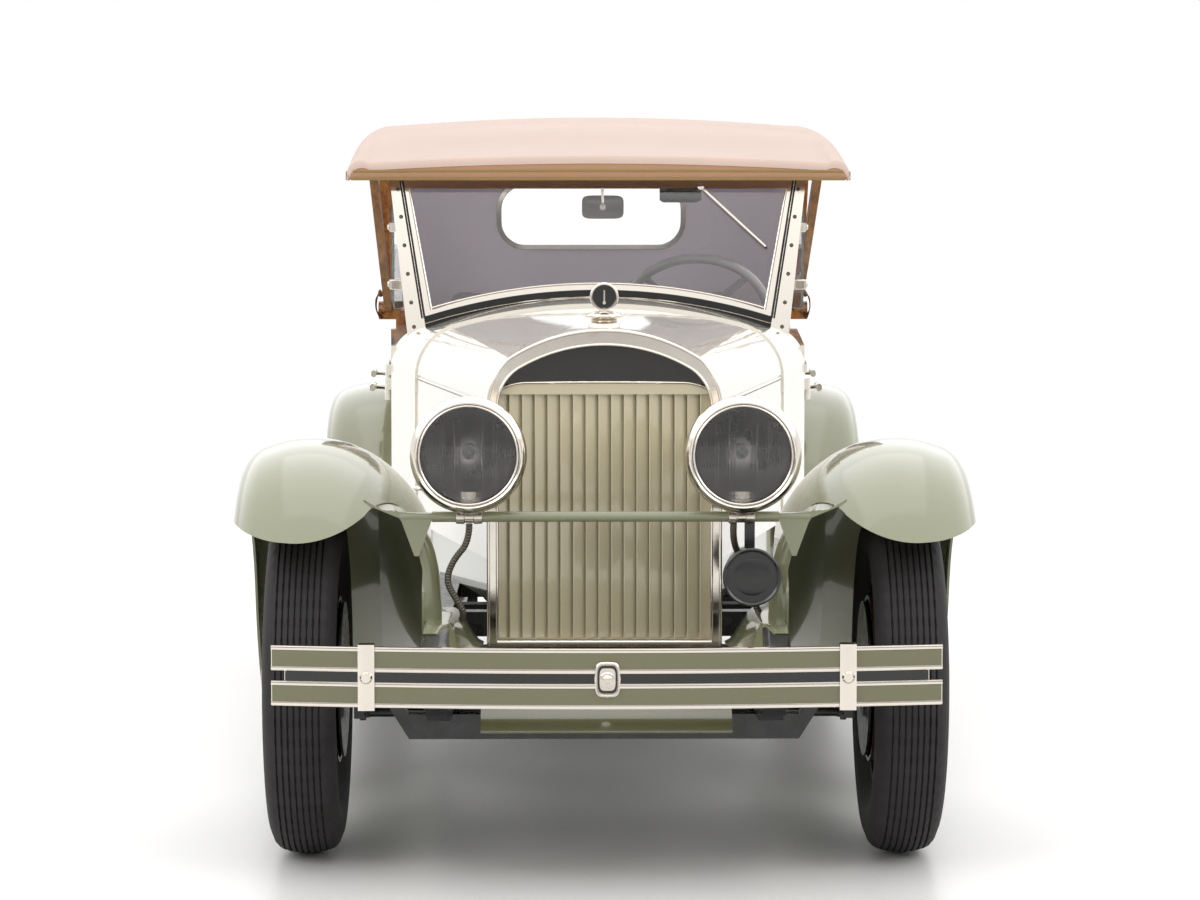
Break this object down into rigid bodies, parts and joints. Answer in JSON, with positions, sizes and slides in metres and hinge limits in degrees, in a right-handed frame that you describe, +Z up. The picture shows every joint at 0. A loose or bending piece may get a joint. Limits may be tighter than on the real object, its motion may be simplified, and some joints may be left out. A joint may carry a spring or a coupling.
{
  "type": "convertible touring car",
  "caption": "Open touring car of the late 1920s with opening doors, folding-side hood, raised fabric top, spoked wheels, linked steering and a spare wheel at the rear.",
  "frame": {"origin": "on the ground, under the middle of the overall box", "axes": "+Z up, -Y towards the front of the car, +X towards the car's left side"},
  "size_m": [1.742, 4.898, 1.8247],
  "materials": {
    "body_paint": "gloss",
    "fender_paint": "gloss",
    "black_paint": "satin",
    "crown_paint": "gloss",
    "shutter_paint": "satin",
    "nickel": "polished",
    "bare_steel": "satin",
    "iron": "matte",
    "tyre_rubber": "matte",
    "board_rubber": "matte",
    "spoke_wood": "gloss",
    "bow_wood": "gloss",
    "floor_wood": "matte",
    "hide": "satin",
    "canvas": "matte",
    "clear_glass": "clear",
    "wheel_plastic": "gloss"
  },
  "bodies": {
    "chassis": {"chassis_frame": "black_paint", "front_axle_beam": "black_paint", "leaf_springs": "black_paint", "rear_axle_housing": "black_paint", "engine_block": "iron", "fuel_tank": "black_paint", "radiator_shell": "nickel", "radiator_crown_panel": "crown_paint", "radiator_shutters": "shutter_paint", "radiator_cap": "nickel", "front_fenders": "fender_paint", "rear_fenders": "fender_paint", "running_boards": "board_rubber", "sill_aprons": "fender_paint", "front_splash_pan": "fender_paint", "front_bumper_bars": "nickel", "front_bumper_irons": "nickel", "rear_bumper": "nickel", "lamp_bar": "fender_paint", "headlamp_shells": "nickel", "headlamp_lenses": "clear_glass", "horn": "black_paint", "tail_lamps": "nickel", "cowl": "body_paint", "body_tub": "body_paint", "floor_pan": "floor_wood", "instrument_panel": "body_paint", "front_seat": "hide", "rear_seat": "hide", "windshield_frame": "nickel", "windshield_glass": "clear_glass", "wind_wings": "clear_glass", "top_roof": "canvas", "back_curtain": "canvas", "rear_window": "clear_glass", "top_bows": "bow_wood", "steering_column": "black_paint", "spare_tyre": "tyre_rubber", "spare_wheel": "spoke_wood"},
    "steering_wheel": {"steering_wheel": "wheel_plastic"},
    "hood_top_left": {"hood_top_left": "body_paint"},
    "hood_side_left": {"hood_side_left": "body_paint"},
    "door_front_left": {"door_front_left": "body_paint"},
    "door_rear_left": {"door_rear_left": "body_paint"},
    "knuckle_left": {"knuckle_left": "black_paint"},
    "hood_top_right": {"hood_top_right": "body_paint"},
    "hood_side_right": {"hood_side_right": "body_paint"},
    "door_front_right": {"door_front_right": "body_paint"},
    "door_rear_right": {"door_rear_right": "body_paint"},
    "knuckle_right": {"knuckle_right": "black_paint"},
    "tie_rod": {"tie_rod": "black_paint"},
    "road_wheel_front_left": {"wheel_front_left": "spoke_wood", "tyre_front_left": "tyre_rubber"},
    "road_wheel_front_right": {"wheel_front_right": "spoke_wood", "tyre_front_right": "tyre_rubber"},
    "road_wheel_rear_left": {"wheel_rear_left": "spoke_wood", "tyre_rear_left": "tyre_rubber"},
    "road_wheel_rear_right": {"wheel_rear_right": "spoke_wood", "tyre_rear_right": "tyre_rubber"}
  },
  "joints": [
    {"name": "steer_left", "type": "hinge", "parent": "chassis", "child": "knuckle_left", "pos_m": [0.591, -1.809, 0.419], "axis": [0, 0, 1], "range_deg": [-28, 28]},
    {"name": "steer_right", "type": "hinge", "parent": "chassis", "child": "knuckle_right", "pos_m": [-0.591, -1.809, 0.419], "axis": [0, 0, 1], "range_deg": [-28.5, 28.5]},
    {"name": "tie_rod_pivot", "type": "hinge", "parent": "knuckle_left", "child": "tie_rod", "pos_m": [0.591, -1.639, 0.312], "axis": [0, 0, 1], "range_deg": [-28.5, 28.5]},
    {"name": "steering_wheel_turn", "type": "hinge", "parent": "chassis", "child": "steering_wheel", "pos_m": [0.29, 0.091, 1.19], "axis": [0, 0.8268, 0.5625], "range_deg": [-422, 422]},
    {"name": "front_left_spin", "type": "hinge", "parent": "knuckle_left", "child": "road_wheel_front_left", "pos_m": [0.711, -1.809, 0.419], "axis": [1, 0, 0], "continuous": true},
    {"name": "front_right_spin", "type": "hinge", "parent": "knuckle_right", "child": "road_wheel_front_right", "pos_m": [-0.711, -1.809, 0.419], "axis": [1, 0, 0], "continuous": true},
    {"name": "rear_left_spin", "type": "hinge", "parent": "chassis", "child": "road_wheel_rear_left", "pos_m": [0.711, 1.544, 0.419], "axis": [1, 0, 0], "continuous": true},
    {"name": "rear_right_spin", "type": "hinge", "parent": "chassis", "child": "road_wheel_rear_right", "pos_m": [-0.711, 1.544, 0.419], "axis": [1, 0, 0], "continuous": true},
    {"name": "front_left_door", "type": "hinge", "parent": "chassis", "child": "door_front_left", "pos_m": [0.59135, -0.309, 0.85], "axis": [0, 0, -1], "range_deg": [0, 70]},
    {"name": "rear_left_door", "type": "hinge", "parent": "chassis", "child": "door_rear_left", "pos_m": [0.6291, 0.481, 0.85], "axis": [0, 0, -1], "range_deg": [0, 70]},
    {"name": "hood_left", "type": "hinge", "parent": "chassis", "child": "hood_top_left", "pos_m": [0, -1.7607, 1.26], "axis": [0, -0.9998, -0.0219], "range_deg": [0, 45]},
    {"name": "hood_fold_left", "type": "hinge", "parent": "hood_top_left", "child": "hood_side_left", "pos_m": [0.272, -1.754, 1.076], "axis": [0.2101, 0.9776, 0.0139], "range_deg": [0, 32]},
    {"name": "front_right_door", "type": "hinge", "parent": "chassis", "child": "door_front_right", "pos_m": [-0.59135, -0.309, 0.85], "axis": [0, 0, 1], "range_deg": [0, 70]},
    {"name": "rear_right_door", "type": "hinge", "parent": "chassis", "child": "door_rear_right", "pos_m": [-0.6291, 0.481, 0.85], "axis": [0, 0, 1], "range_deg": [0, 70]},
    {"name": "hood_right", "type": "hinge", "parent": "chassis", "child": "hood_top_right", "pos_m": [0, -1.7607, 1.26], "axis": [0, 0.9998, 0.0219], "range_deg": [0, 45]},
    {"name": "hood_fold_right", "type": "hinge", "parent": "hood_top_right", "child": "hood_side_right", "pos_m": [-0.272, -1.754, 1.076], "axis": [0.2101, -0.9776, -0.0139], "range_deg": [0, 32]}
  ],
  "couplings": [
    {"joint": "steer_right", "follows": "steer_left", "ratio": 1},
    {"joint": "tie_rod_pivot", "follows": "steer_left", "ratio": -1},
    {"joint": "steering_wheel_turn", "follows": "steer_left", "ratio": 15},
    {"joint": "hood_fold_left", "follows": "hood_left", "ratio": 0.7},
    {"joint": "hood_fold_right", "follows": "hood_right", "ratio": 0.7}
  ]
}
